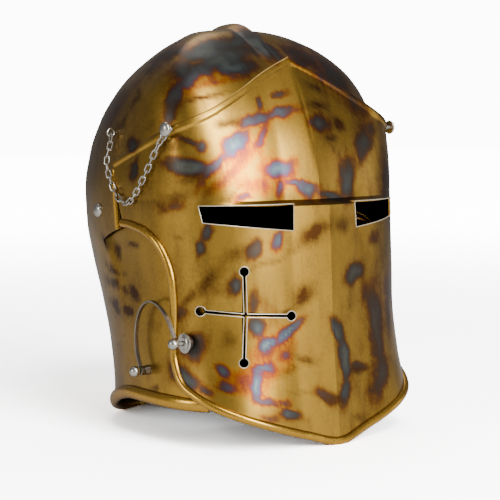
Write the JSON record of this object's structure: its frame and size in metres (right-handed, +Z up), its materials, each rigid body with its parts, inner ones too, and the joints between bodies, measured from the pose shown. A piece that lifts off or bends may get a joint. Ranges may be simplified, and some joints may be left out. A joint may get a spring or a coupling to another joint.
{
  "type": "visored barbute helmet",
  "caption": "Visored barbute helmet in patinated brass sheet, with comb, keeled visor, eye slots, cross breath, hook latch and a short pin chain.",
  "frame": {"origin": "middle of the bounding box in x and y, on the surface that the keel tip and the nape rim rest on", "axes": "+Z up through the crown, -Y towards the visor, +X to the wearer's left; the helmet's own middle plane is at x = +3.05 mm, because the hook stud on the wearer's right stands out further"},
  "size_m": [0.232, 0.2769, 0.3181],
  "materials": {
    "patinated_brass": "polished sheet brass with heat-tempering colours and brown spots",
    "nickel": "satin nickel-plated studs, hook and chain"
  },
  "bodies": {
    "skull": {"chain_end_link": "nickel", "chain_eye_pin": "nickel", "chain_link_01": "nickel", "chain_link_02": "nickel", "chain_link_03": "nickel", "chain_link_04": "nickel", "chain_link_05": "nickel", "chain_link_06": "nickel", "chain_link_07": "nickel", "chain_link_08": "nickel", "chain_link_09": "nickel", "chain_link_10": "nickel", "chain_link_11": "nickel", "chain_link_12": "nickel", "chain_link_13": "nickel", "chain_link_14": "nickel", "chain_link_15": "nickel", "chain_link_16": "nickel", "chain_link_17": "nickel", "chain_link_18": "nickel", "chain_link_19": "nickel", "chain_link_20": "nickel", "chain_link_21": "nickel", "chain_link_22": "nickel", "chain_link_23": "nickel", "hook_stud": "nickel", "side_rivet_left": "nickel", "side_rivet_right": "nickel", "skull": "patinated_brass", "temple_stud_left": "nickel", "temple_stud_right": "nickel"},
    "visor": {"visor": "patinated_brass", "catch_stud": "nickel", "catch_washer": "nickel"},
    "hook": {"hook": "nickel"}
  },
  "joints": [
    {"name": "visor_pivot", "type": "hinge", "parent": "skull", "child": "visor", "pos_m": [0.00305, -0.0655, 0.2348], "axis": [-1, 0, 0], "range_deg": [0, 11]},
    {"name": "hook_pivot", "type": "hinge", "parent": "skull", "child": "hook", "pos_m": [-0.1062, -0.0305, 0.0522], "axis": [-1, 0, 0], "range_deg": [0, 75]}
  ]
}
